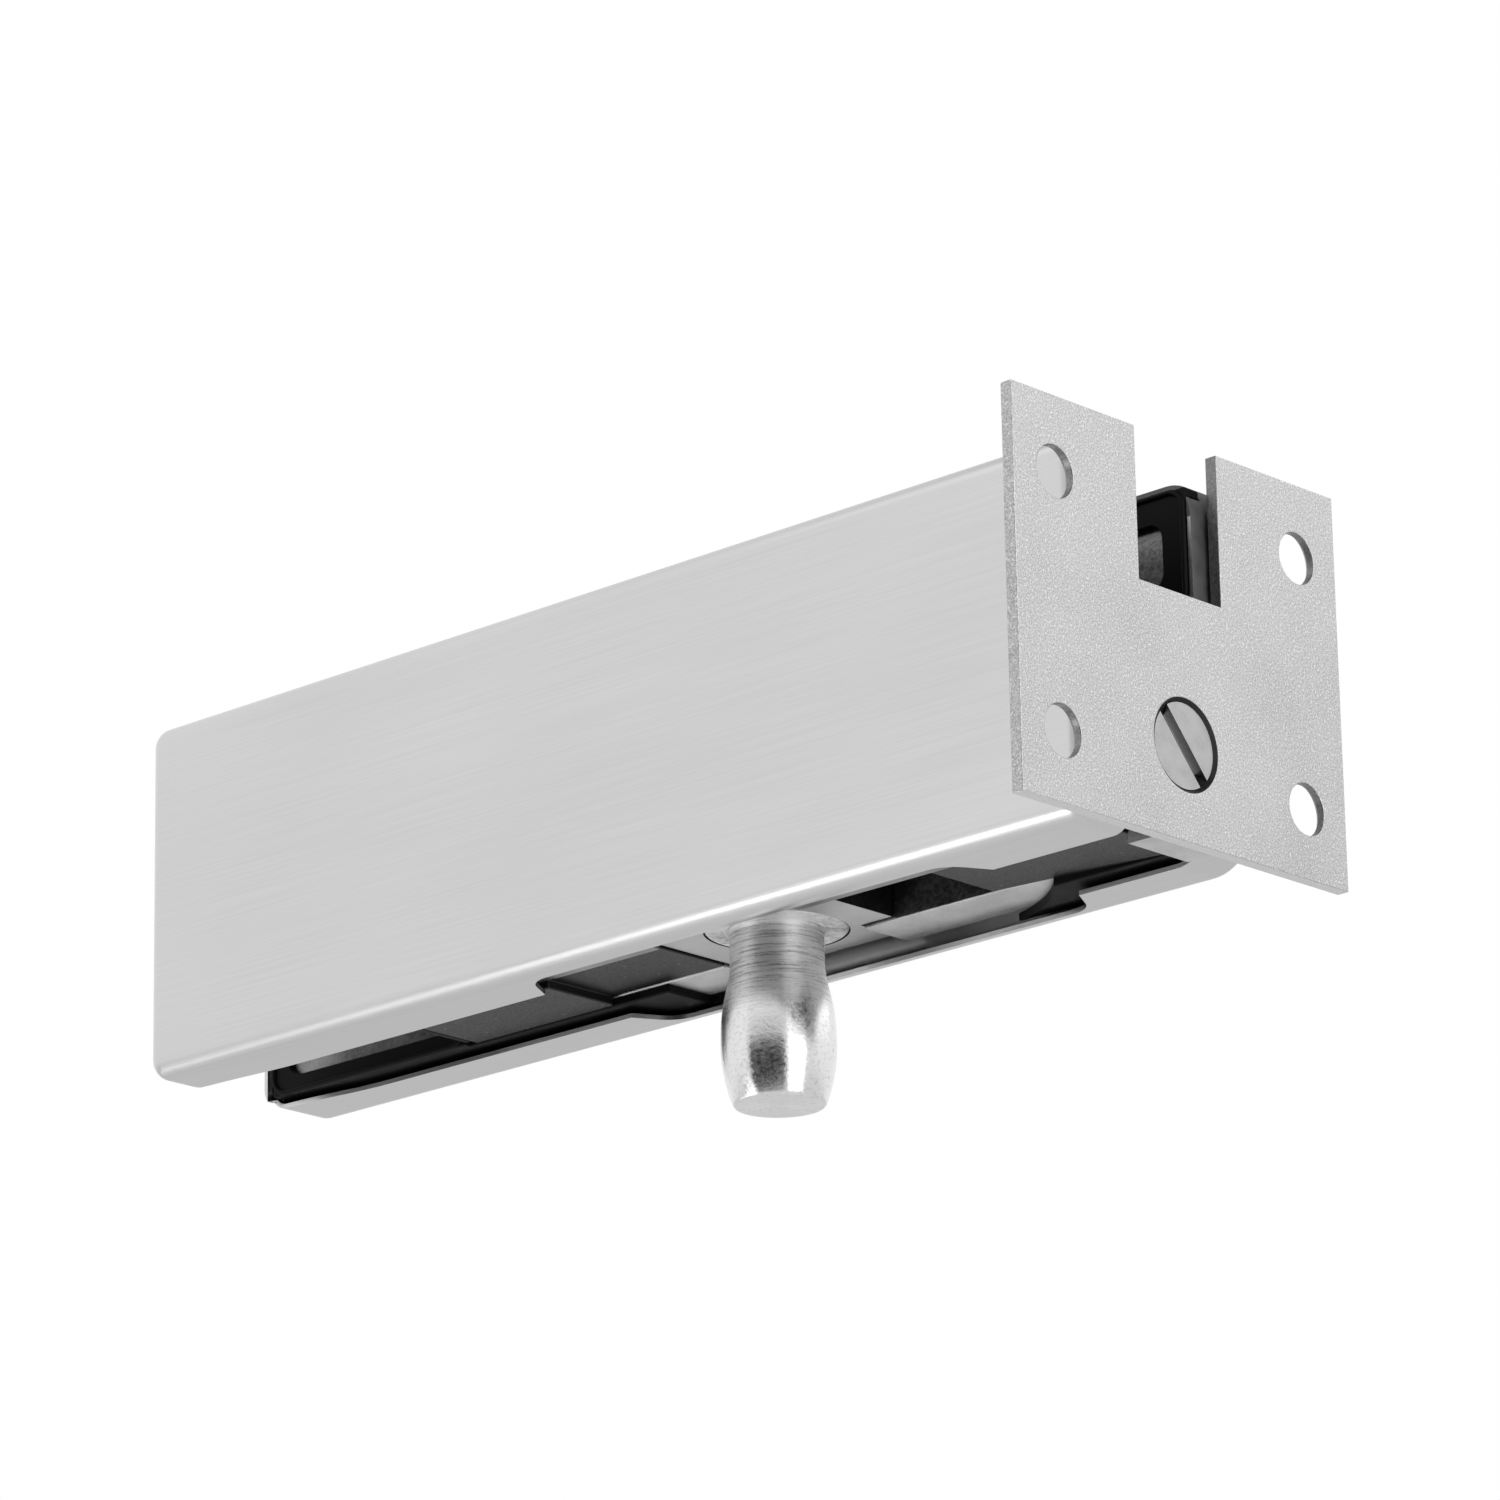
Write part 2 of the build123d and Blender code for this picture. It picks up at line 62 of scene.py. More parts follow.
# Depth from the covers' top in which corners and cut edges keep the mill's finish, painted darker as shade
MILL_AND_SHADE_TOP = 8.0
# Liners: the front one's lower edge is higher, out of sight behind its flange
LINER_FACE, LINER_LEFT, LINER_RIGHT, LINER_LOW, LINER_HIGH = 5.0, -97.2, 64.2, {-1: 1.9, 1: 1.3}, 46.8
RIDGE_INSET, RIDGE_RADIUS, RIDGE_BEAD = 0.3, 2.2, 0.4
FILLER_LEFT, FILLER_TOP, FILLER_GAP = -59.3, 30.0, 1.2
BAR_UNDERSIDE = 2.5
# Clamp screws: M6 socket cap screws, 25 long, in the front half
SCREW_SEAT, SCREW_PLACES = -9.3, [(-46.0, 14.0), (0.0, 22.2), (44.0, 21.2)]
SCREW_DIAMETER, SCREW_LENGTH, SCREW_PITCH, ROOT_SHARE = 6.0, 25.0, 1.0, 0.86
HEAD_DIAMETER, HEAD_HEIGHT, SOCKET_WIDTH, SOCKET_DEPTH = 10.0, 6.0, 5.0, 3.0
# Pin: radii, the heights where they change, and where the torn rings of its neck fade
FOOT_RADIUS, BARREL_RADIUS, NECK_RADIUS, COLLAR_RADIUS, SHANK_RADIUS = 5.98, 7.28, 5.95, 9.1, 5.0
FOOT_END, BARREL_LOW, BARREL_MIDDLE, NECK_LOW = -19.7, -19.2, -12.0, -1.1
COLLAR_LOW, COLLAR_HIGH, SHANK_END = 3.0, 6.5, 16.0
TORN_LOW, TORN_HIGH = -9.0, -5.0
PLATE_BACK, PLATE_FACE, PLATE_WIDTH, PLATE_LOW, PLATE_HIGH = 65.5, 67.2, 60.3, -0.3, 50.7
PLATE_HOLES = [(-22.65, 8.7), (22.65, 8.7), (-22.65, 41.0), (22.65, 41.0)]
PLATE_HOLE_RADIUS, HOLE_LAND, HOLE_SINK, PLATE_RIM = 3.3, 1.0, 0.7, 0.5
# The screw's head is drawn a little smaller and deeper, for the dark gap round it
WALL_SCREW_HEIGHT, WALL_SCREW_SINK, WALL_SCREW_SHARE, WALL_SCREW_SEAT_RADIUS = 11.9, 0.15, 0.961, 7.0


def place(x, y, z):
    """Point of the drawing, in metres in the shared frame."""
    return Vector((x, y, z + LIFT)) / 1000


def drawn(point):
    """Point of the shared frame, in the drawing's millimetres."""
    return point * 1000 - Vector((0, 0, LIFT))


# Tools for nodes and materials
def per_mm(size):
    """Texture scale on Object coordinates for a feature of that many millimetres."""
    return 1000 / size


def colour(code):
    """Linear colour of an sRGB hex value."""
    parts = [int(code[i:i + 2], 16) / 255 for i in (0, 2, 4)]
    return [c / 12.92 if c <= 0.04045 else ((c + 0.055) / 1.055) ** 2.4 for c in parts] + [1.0]


def add(tree, kind, settings=None, links=None):
    """New node with its settings and what feeds it: sockets, or nodes for their first socket."""
    node = tree.nodes.new(kind)
    for name, value in (settings or {}).items():
        if isinstance(name, str) and hasattr(node, name):
            setattr(node, name, value)
        else:
            node.inputs[name].default_value = value
    for name, source in (links or {}).items():
        socket = source.outputs[0] if isinstance(source, bpy.types.Node) else source
        tree.links.new(socket, node.inputs[name])
    return node


def start_material(name, code, metallic, roughness, **sockets):
    """Material with a Principled shader, and its tree and object coordinates."""
    material = bpy.data.materials.new(name)
    material.use_nodes = True
    tree = material.node_tree
    tree.nodes.clear()
    settings = {"Base Color": colour(code), "Metallic": metallic, "Roughness": roughness}
    settings.update({key.replace("_", " "): value for key, value in sockets.items()})
    shader = add(tree, "ShaderNodeBsdfPrincipled", settings)
    add(tree, "ShaderNodeOutputMaterial", links={"Surface": shader})
    return material, tree, shader, add(tree, "ShaderNodeTexCoord").outputs["Object"]


def stretched(tree, coords, sizes, detail=2.0, rough=0.5):
    """Noise whose features measure sizes millimetres along X, Y and Z."""
    scale = [per_mm(size) for size in sizes]
    mapping = add(tree, "ShaderNodeMapping", {"Scale": scale}, {"Vector": coords})
    return add(tree, "ShaderNodeTexNoise", {"Scale": 1.0, "Detail": detail, "Roughness": rough},
               {"Vector": mapping})


def even(tree, coords, size, detail=2.0, rough=0.5):
    """Noise whose features measure size millimetres every way."""
    return stretched(tree, coords, (size, size, size), detail, rough)


def summed(tree, *parts):
    """Sum of patterns, each with the range it is brought to and, where it isn't a noise's, its own range."""
    total = None
    for pattern, low, high, *own in parts:
        from_low, from_high = own or (0.3, 0.7)
        part = add(tree, "ShaderNodeMapRange", {"From Min": from_low, "From Max": from_high,
                                                "To Min": low, "To Max": high}, {"Value": pattern})
        total = add(tree, "ShaderNodeMath", {"operation": "ADD"}, {0: total, 1: part}) if total else part
    return total


def dress(tree, shader, tone, codes, roughness, height, depth, strength):
    """Patterns on a shader: tone picks between two colours, height is a relief of depth millimetres."""
    dark, light = [colour(code) for code in codes]
    paint = add(tree, "ShaderNodeMix", {"data_type": "RGBA", 6: dark, 7: light}, {0: tone})
    bump = add(tree, "ShaderNodeBump", {"Strength": strength, "Distance": depth / 1000}, {"Height": height})
    tree.links.new(paint.outputs[2], shader.inputs["Base Color"])
    tree.links.new(roughness.outputs[0], shader.inputs["Roughness"])
    tree.links.new(bump.outputs[0], shader.inputs["Normal"])


# Finishes
def satin_steel():
    """Stainless sheet brushed along the fitting: soft streaks, reflections drawn out across them."""
    material, tree, shader, at = start_material("satin_brushed_stainless", "CECECE", 1.0, 0.28,
                                                Anisotropic=0.6)
    tangent = add(tree, "ShaderNodeTangent", {"direction_type": "UV_MAP", "uv_map": "grain"})
    tree.links.new(tangent.outputs[0], shader.inputs["Tangent"])
    # brush marks are finer than a pixel, so they are drawn at 0.3 mm across and 30 mm long
    streaks = stretched(tree, at, (30.0, 0.3, 0.3), detail=3.0)
    clouds = stretched(tree, at, (60.0, 25.0, 25.0))
    tone = summed(tree, (streaks, 0.0, 0.6), (clouds, 0.0, 0.4))
    dress(tree, shader, tone, ("CACACA", "D5D5D5"), summed(tree, (streaks, 0.28, 0.33)), streaks, 0.002, 0.1)
    return material


def cast_aluminium(name, dark, light, grit, smooth):
    """Raw die casting: fine pimpled skin, uneven grey, dull sheen on the high spots."""
    material, tree, shader, at = start_material(name, light, 1.0, smooth)
    skin = even(tree, at, grit, detail=4.0, rough=0.6)
    patches = even(tree, at, 6.0, detail=3.0)
    tone = summed(tree, (skin, 0.0, 0.5), (patches, 0.0, 0.5))
    roughness = summed(tree, (skin, smooth - 0.08, smooth + 0.12))
    dress(tree, shader, tone, (dark, light), roughness, skin, 0.05, 0.6)
    return material


def black_rubber():
    """Matt moulded rubber: deep black with a faint grey bloom and a very fine grain."""
    material, tree, shader, at = start_material("matt_black_rubber", "0C0C0C", 0.0, 0.5,
                                                Specular_IOR_Level=0.1)
    grain = even(tree, at, 0.25)
    bloom = even(tree, at, 9.0, detail=4.0)
    tone, roughness = summed(tree, (bloom, 0.0, 1.0)), summed(tree, (bloom, 0.45, 0.62))
    dress(tree, shader, tone, ("080808", "121212"), roughness, grain, 0.02, 0.5)
    return material


def black_nylon():
    """Glass-filled nylon moulding: smooth dark grey with a dull sheen and tiny pale specks."""
    material, tree, shader, at = start_material("black_moulded_nylon", "1A1A1A", 0.0, 0.42,
                                                Specular_IOR_Level=0.3)
    specks = add(tree, "ShaderNodeTexVoronoi", {"Scale": per_mm(2.4)}, {"Vector": at})
    fine = even(tree, at, 0.3)
    # only the middles of the cells, nearer than 0.1 of their size, are pale
    dots, roughness = summed(tree, (specks, 0.5, 0.0, 0.03, 0.1)), summed(tree, (fine, 0.36, 0.5))
    dress(tree, shader, dots, ("131313", "9A9A9A"), roughness, fine, 0.01, 0.4)
    return material


def turned_steel():
    """Steel as it leaves the lathe: torn rings round the neck, a scuffed skin on the barrel, a plain foot."""
    material, tree, shader, at = start_material("turned_bright_steel", "D0D0D0", 1.0, 0.16,
                                                Anisotropic=0.8, Anisotropic_Rotation=0.25)
    tangent = add(tree, "ShaderNodeTangent", {"direction_type": "RADIAL", "axis": "Z"})
    tree.links.new(tangent.outputs[0], shader.inputs["Tangent"])
    # feed marks are about 0.1 mm apart, too fine to show, so they are drawn 0.3 mm apart
    rings = stretched(tree, at, (7.0, 7.0, 0.3), detail=4.0, rough=0.8)
    scuffs = stretched(tree, at, (0.6, 0.6, 0.45), detail=4.0, rough=0.7)
    height = add(tree, "ShaderNodeSeparateXYZ", links={"Vector": at}).outputs["Z"]
    neck = summed(tree, (height, 0.0, 1.0, place(0, 0, TORN_LOW).z, place(0, 0, TORN_HIGH).z))
    lines = summed(tree, (rings, -0.54, 0.42, 0.36, 0.6))
    torn, lined = [add(tree, "ShaderNodeMath", {"operation": "MULTIPLY"}, {0: neck, 1: pattern})
                   for pattern in (rings, lines)]
    tone = summed(tree, (scuffs, 0.6, 0.95, 0.25, 0.5), (lined, -1.0, 1.0, -1.0, 1.0))
    roughness = summed(tree, (scuffs, 0.14, 0.26), (neck, 0.0, 0.32, 0.0, 1.0))
    relief = summed(tree, (scuffs, 0.0, 0.5, 0.0, 1.0), (torn, 0.0, 0.7, 0.0, 1.0))
    dress(tree, shader, tone, ("666666", "E8E8E8"), roughness, relief, 0.06, 0.9)
    return material


def grained_plate():
    """Zinc plated sheet with a blasted grain: pale grey, with tiny paler dots painted in as glints."""
    material, tree, shader, at = start_material("zinc_plated_grained_sheet", "BCBCBC", 1.0, 0.42)
    # the grit's dents are about 0.1 mm, drawn at 0.2 mm to show
    grain = even(tree, at, 0.2, detail=1.0)
    # tiny paler dots of the grain, painted into the colour as glints
    painted_glints = even(tree, at, 0.3, detail=0.0)
    clouds = even(tree, at, 14.0, detail=3.0)
    tone = summed(tree, (grain, 0.0, 0.6, 0.36, 0.64), (clouds, 0.0, 0.2), (painted_glints, 0.0, 0.5, 0.66, 0.74))
    dress(tree, shader, tone, ("9A9A9A", "DCDCDC"), summed(tree, (clouds, 0.36, 0.48)), grain, 0.012, 0.35)
    return material


def plain_metal(name, dark, light, roughness, mark):
    """Bright or blackened metal of a small part or an edge, with faint marks of handling."""
    material, tree, shader, at = start_material(name, light, 1.0, roughness)
    marks = even(tree, at, mark, detail=4.0, rough=0.6)
    wear = summed(tree, (marks, roughness * 0.8, roughness * 1.3))
    dress(tree, shader, summed(tree, (marks, 0.0, 1.0)), (dark, light), wear, marks, 0.01, 0.3)
    return material


STEEL = satin_steel()
# The covers' wall end, as rolled: dull, and painted darker than the brushed face as the shade under the plate
MILL_STEEL_AND_PAINTED_SHADE = plain_metal("mill_finish_stainless_and_painted_shade", "666666", "7A7A7A", 0.6, 3.0)
# Both clamp halves, as cast: mid grey, smooth enough to mirror what lies near
BODY_METAL = cast_aluminium("die_cast_aluminium", "6E6E6E", "B0B0B0", 0.45, 0.36)
# The pivot block's milled faces: pale and even
BLOCK_METAL = cast_aluminium("machined_cast_aluminium", "B4B4B4", "CFCFCF", 0.3, 0.45)
# The bar under the notch and the spacer, filed: the palest metal, and matt; on the bar's underside the
# paleness is also painted light, for the light it catches from below
ARM_METAL = cast_aluminium("filed_cast_aluminium", "BCBCBC", "E0E0E0", 0.3, 0.6)
# Casting skin in corners, nearly black with a faint sheen, which also stands as painted shade: on the block's
# sides in their pocket and in the plate's screw seat
SKIN_AND_PAINTED_SHADE = cast_aluminium("casting_skin_and_painted_shade", "262626", "424242", 0.6, 0.5)
RUBBER = black_rubber()
NYLON = black_nylon()
PIN_STEEL = turned_steel()
PLATE_STEEL = grained_plate()
# Walls of the plate's holes and slot, punched: darker than its face, partly as painted shade inside them, and
# finely marked
CUT_STEEL = plain_metal("punched_steel_edge", "6C6C6C", "9A9A9A", 0.38, 0.3)
# The plate's lower edge, sheared: a bright line
SHEARED_STEEL = plain_metal("bright_sheared_edge", "D4D4D4", "EAEAEA", 0.5, 0.5)
# The plate's screw, plated: smooth mid grey
ZINC = plain_metal("bright_zinc_plated_steel", "A0A0A0", "B0B0B0", 0.3, 2.5)
# Socket screws, blackened in oil: near black with a soft sheen
BLACK_STEEL = plain_metal("blackened_steel", "1C1C1D", "343436", 0.4, 0.8)
# The covers' clips, cold rolled strip: clean grey
SPRING_STEEL = plain_metal("spring_steel_strip", "7A7A7C", "9C9C9E", 0.3, 1.5)


# Tools for pieces
def show(name, data):
    """Object of that name and data, put in the scene."""
    obj = bpy.data.objects.new(name, data)
    bpy.context.scene.collection.objects.link(obj)
    return obj


def fill_mesh(mesh, shape):
    """Fills a mesh from a bmesh, its doubles merged and its faces turned outwards."""
    bmesh.ops.remove_doubles(shape, verts=shape.verts, dist=1e-7)
    bmesh.ops.recalc_face_normals(shape, faces=shape.faces)
    shape.to_mesh(mesh)
    shape.free()


def finish_piece(obj, material, replaced, bevel=0.0, segments=2, sharp=35):
    """Gives a piece its material and edges, and ties it to the frame."""
    obj.data.materials.clear()
    obj.data.materials.append(material)
    for face in obj.data.polygons:
        face.use_smooth = True
    obj.data.set_sharp_from_angle(angle=math.radians(sharp))
    if bevel:
        rim = obj.modifiers.new("eased_edges", "BEVEL")
        rim.width = bevel / 1000
        rim.segments = segments
        rim.limit_method = "ANGLE"
        rim.angle_limit = math.radians(sharp)
        rim.miter_outer = "MITER_ARC"
    weighted = obj.modifiers.new("flat_faces", "WEIGHTED_NORMAL")
    weighted.keep_sharp = True
    weighted.weight = 100
    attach(obj, "root")
    if replaced:
        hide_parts(*replaced)
    return obj


def paint_faces(obj, material, chosen):
    """Gives the faces that a test picks another material."""
    obj.data.materials.append(material)
    for face in obj.data.polygons:
        if chosen(face):
            face.material_index = len(obj.data.materials) - 1


def from_node(node, name):
    """Copy of a CAD node with its triangles merged into whole faces."""
    shape = bmesh.new()
    shape.from_mesh(nodes[node].data)
    bmesh.ops.remove_doubles(shape, verts=shape.verts, dist=2e-6)
    bmesh.ops.dissolve_limit(shape, angle_limit=math.radians(0.6), verts=shape.verts, edges=shape.edges)
    mesh = bpy.data.meshes.new(name)
    shape.to_mesh(mesh)
    shape.free()
    return show(name, mesh)


def made_by(tree, name, start, values):
    """Plain object that a Geometry Nodes tree makes from a starting mesh and named values."""
    obj = show(name, start)
    maker = obj.modifiers.new("maker", "NODES")
    maker.node_group = tree
    for socket in tree.interface.items_tree:
        if socket.in_out == "INPUT" and socket.name in values:
            maker[socket.identifier] = values[socket.name]
    mesh = bpy.data.meshes.new_from_object(obj.evaluated_get(bpy.context.evaluated_depsgraph_get()))
    obj.modifiers.remove(maker)
    shape = bmesh.new()
    shape.from_mesh(mesh)
    fill_mesh(mesh, shape)
    obj.data = mesh
    return obj


def polyline(name, points, closed):
    """Mesh of joined points, in the frame's millimetres, for a tree to follow."""
    count = len(points)
    edges = [(i, (i + 1) % count) for i in range(count if closed else count - 1)]
    mesh = bpy.data.meshes.new(name)
    mesh.from_pydata([Vector(point) / 1000 for point in points], edges, [])
    return mesh


# Geometry Nodes trees
def new_tree(name, inputs):
    """Empty Geometry Nodes tree with a geometry socket and named inputs, and its input node's sockets."""
    tree = bpy.data.node_groups.new(name, "GeometryNodeTree")
    tree.interface.new_socket("Geometry", in_out="INPUT", socket_type="NodeSocketGeometry")
    for label, kind in inputs.items():
        tree.interface.new_socket(label, in_out="INPUT", socket_type="NodeSocket" + kind)
    tree.interface.new_socket("Geometry", in_out="OUTPUT", socket_type="NodeSocketGeometry")
    return tree, add(tree, "NodeGroupInput").outputs


def finish_tree(tree, geometry, material):
    """Ends a tree: instances made real, material set."""
    real = add(tree, "GeometryNodeRealizeInstances", links={"Geometry": geometry})
    painted = add(tree, "GeometryNodeSetMaterial", links={"Geometry": real, "Material": material})
    add(tree, "NodeGroupOutput", links={0: painted})
    return tree


def lathe_tree():
    """Sweeps a half outline, drawn beside the axis, round it as a lathe would."""
    tree, given = new_tree("turned_on_a_lathe",
                           {"Facets": "Int", "Centre Radius": "Float", "Material": "Material"})
    outline = add(tree, "GeometryNodeMeshToCurve", links={"Mesh": given["Geometry"]})
    circle = add(tree, "GeometryNodeCurvePrimitiveCircle",
                 links={"Resolution": given["Facets"], "Radius": given["Centre Radius"]})
    turned = add(tree, "GeometryNodeCurveToMesh", links={"Curve": circle, "Profile Curve": outline})
    return finish_tree(tree, turned, given["Material"])


def ridge_tree():
    """Lays a round bead, which stands half out of the surface, along a path with rounded corners."""
    tree, given = new_tree("moulded_ridge",
                           {"Corner Radius": "Float", "Bead": "Float", "Material": "Material"})
    path = add(tree, "GeometryNodeMeshToCurve", links={"Mesh": given["Geometry"]})
    rounded = add(tree, "GeometryNodeFilletCurve", {"mode": "POLY", "Count": 8},
                  {"Curve": path, "Radius": given["Corner Radius"]})
    bead = add(tree, "GeometryNodeCurvePrimitiveCircle", {"Resolution": 12}, {"Radius": given["Bead"]})
    ridge = add(tree, "GeometryNodeCurveToMesh", links={"Curve": rounded, "Profile Curve": bead})
    return finish_tree(tree, ridge, given["Material"])


def screws_tree():
    """Puts a socket cap screw with a ridged thread at each point, its tip to the back."""
    tree, given = new_tree("socket_cap_screws", {
        "Head Radius": "Float", "Head Middle": "Float", "Head Height": "Float", "Socket Radius": "Float",
        "Socket Mouth": "Float", "Socket Height": "Float", "Root Radius": "Float", "Shank Middle": "Float",
        "Length": "Float", "Pitch": "Float", "Turns": "Int", "Crest": "Float", "Material": "Material"})

    def rod(sides, radius, height, middle):
        """Upright rod round the screw's axis, by its middle's height."""
        shape = add(tree, "GeometryNodeMeshCylinder", {"Vertices": sides},
                    {"Radius": given[radius], "Depth": given[height]})
        at = add(tree, "ShaderNodeCombineXYZ", links={"Z": given[middle]})
        return add(tree, "GeometryNodeTransform", links={"Geometry": shape, "Translation": at})

    head = add(tree, "GeometryNodeMeshBoolean", {"operation": "DIFFERENCE"},
               {"Mesh 1": rod(40, "Head Radius", "Head Height", "Head Middle"),
                "Mesh 2": rod(6, "Socket Radius", "Socket Height", "Socket Mouth")})
    shank = rod(32, "Root Radius", "Length", "Shank Middle")
    step = add(tree, "ShaderNodeCombineXYZ", links={"Z": given["Pitch"]})
    places = add(tree, "GeometryNodeMeshLine", {"mode": "OFFSET"},
                 {"Count": given["Turns"], "Start Location": step, "Offset": step})
    ring = add(tree, "GeometryNodeCurvePrimitiveCircle", {"Resolution": 32}, {"Radius": given["Root Radius"]})
    crest = add(tree, "GeometryNodeCurvePrimitiveCircle", {"Resolution": 4}, {"Radius": given["Crest"]})
    ridge = add(tree, "GeometryNodeCurveToMesh", links={"Curve": ring, "Profile Curve": crest})
    thread = add(tree, "GeometryNodeInstanceOnPoints", links={"Points": places, "Instance": ridge})
    screw = add(tree, "GeometryNodeJoinGeometry")
    for part in (thread, shank, head):
        tree.links.new(part.outputs[0], screw.inputs[0])
    laid = add(tree, "GeometryNodeTransform", {"Rotation": (-math.pi / 2, 0, 0)}, {"Geometry": screw})
    placed = add(tree, "GeometryNodeInstanceOnPoints", links={"Points": given["Geometry"], "Instance": laid})
    return finish_tree(tree, placed, given["Material"])


# Covers. A point of their outline: its place, the way out, its free edge's y, whether it is on an end wall
Rim = namedtuple("Rim", "x z out_x out_z edge on_wall")


def flange_line(x, side):
    """Free edge of a lower flange beside the notch, with its sweep and the front one's rounded corner."""
    share = (FLANGE_SWEEP_START - x) / (FLANGE_SWEEP_START - FLANGE_SWEEP_END)
    share = min(max(share, 0.0), 1.0)
    edge = FLANGE_EDGE - FLANGE_SWEEP[side] * share * share * (3 - 2 * share)
    into_corner = min(max(COVER_LEFT + GLASS_CORNER_RADIUS + FLANGE_CORNER_INSET - x, 0.0), FLANGE_CORNER)
    if side < 0:
        edge += FLANGE_CORNER - math.sqrt(FLANGE_CORNER ** 2 - into_corner ** 2)
    return edge


def notch_edge():
    """Free edge of a lower flange along the notch, as (x, y) from left to right."""
    turn = math.atan2(NOTCH_DEPTH - FLANGE_EDGE, NOTCH_SLOPE_RUN)
    reach = NOTCH_RADIUS * math.tan(turn / 2)
    middle_x = NOTCH_LEFT + NOTCH_SLOPE_RUN + reach
    middle_y = NOTCH_DEPTH - NOTCH_RADIUS
    points = [(NOTCH_LEFT, FLANGE_EDGE)]
    for k in range(NOTCH_STEPS + 1):
        angle = math.pi / 2 + turn * (1 - k / NOTCH_STEPS)
        points.append((middle_x + NOTCH_RADIUS * math.cos(angle), middle_y + NOTCH_RADIUS * math.sin(angle)))
    centre = (NOTCH_LEFT + NOTCH_RIGHT) / 2
    mirrored = [(2 * centre - x, y) for x, y in reversed(points)]
    return points + [(x, NOTCH_DEPTH) for x in NOTCH_PLACES] + mirrored


def cover_outline(side):
    """Outline of a cover, round from the lower corner at the glass end."""
    points = []

    def corner(x, z, radius, start):
        """Rounded corner: its steep part belongs to the end wall, the rest to a flange."""
        wall_first = start in (0, 180)
        steep = math.degrees(math.acos((radius - COVER_SHEET) / radius))
        if side < 0 and x < 0:
            steep = FRONT_WALL_TURN
        split = start + (steep if wall_first else 90 - steep)
        steps = round(90 / CORNER_STEP)
        for angle in sorted([start + CORNER_STEP * k for k in range(steps + 1)] + [split]):
            out_x, out_z = math.cos(math.radians(angle)), math.sin(math.radians(angle))
            at_x, at_z = x + radius * out_x, z + radius * out_z
            low = z < FILLER_TOP
            flange = Rim(at_x, at_z, out_x, out_z, flange_line(at_x, side) if low else FLANGE_EDGE, False)
            clear = z > SPACER_SPACE_TOP or out_x < 0
            wall = flange._replace(edge=END_WALL_EDGE if clear else SPACER_EDGE, on_wall=True)
            if angle == split:
                points.extend([wall, flange] if wall_first else [flange, wall])
            else:
                points.append(wall if (angle < split) == wall_first else flange)

    low_radius, top_radius = WALL_CORNER_RADIUS[side], WALL_TOP_RADIUS[side]
    left, right = COVER_LEFT + GLASS_CORNER_RADIUS, COVER_RIGHT - low_radius
    corner(left, GLASS_CORNER_RADIUS, GLASS_CORNER_RADIUS, 180)
    lower = [(x, flange_line(x, side)) for x in SWEEP_PLACES] + notch_edge()
    points.extend(Rim(x, 0.0, 0.0, -1.0, y, False) for x, y in lower)
    corner(right, low_radius, low_radius, 270)
    points.extend(Rim(COVER_RIGHT, SPACER_SPACE_TOP, 1.0, 0.0, edge, True)
                  for edge in (SPACER_EDGE, END_WALL_EDGE))
    corner(COVER_RIGHT - top_radius, COVER_HEIGHT - top_radius, top_radius, 0)
    points.extend(Rim(x, COVER_HEIGHT, 0.0, 1.0, FLANGE_EDGE, False) for x in TOP_PLACES)
    corner(left, COVER_HEIGHT - GLASS_CORNER_RADIUS, GLASS_CORNER_RADIUS, 90)
    return points


def cover_rings(outline):
    """Rings of a cover's surface from its free edge over the fold to the face, outside and inside."""
    fold_start = COVER_FACE - FOLD_RADIUS
    inner_radius = FOLD_RADIUS - COVER_SHEET
    angles = [math.pi / 2 * k / FOLD_STEPS for k in range(FOLD_STEPS + 1)]

    def ring(inset, depth):
        """Ring at an inset from the outline; depth gives y from an outline point."""
        return [(p.x - p.out_x * inset, depth(p), p.z - p.out_z * inset) for p in outline]

    def fold(radius, inset, angle):
        """Ring on a fold of that radius, turned by an angle from the flange to the face."""
        return ring(inset + radius * (1 - math.cos(angle)), lambda p: fold_start + radius * math.sin(angle))

    def free_edge(p):
        """Where the sheet ends."""
        return p.edge

    def flange_depth(p):
        """Where the flanges end, also past an end wall's reach."""
        return FLANGE_EDGE if p.on_wall else p.edge

    def tab(depth):
        """Inside of the end walls where they reach past the flanges, flat on the sheet's inner side."""
        inner = ring(COVER_SHEET, flange_depth)
        for i, p in enumerate(outline):
            if p.on_wall:
                wall_x = (COVER_RIGHT - COVER_SHEET) if p.out_x > 0 else (COVER_LEFT + COVER_SHEET)
                inner[i] = (wall_x, depth(p), p.z)
        return inner

    outside = [ring(0.0, free_edge), ring(0.0, flange_depth)]
    outside += [fold(FOLD_RADIUS, 0.0, angle) for angle in angles]
    inside = [fold(inner_radius, COVER_SHEET, angle) for angle in reversed(angles)]
    inside += [ring(COVER_SHEET, flange_depth), tab(flange_depth), tab(free_edge)]
    return outside, inside


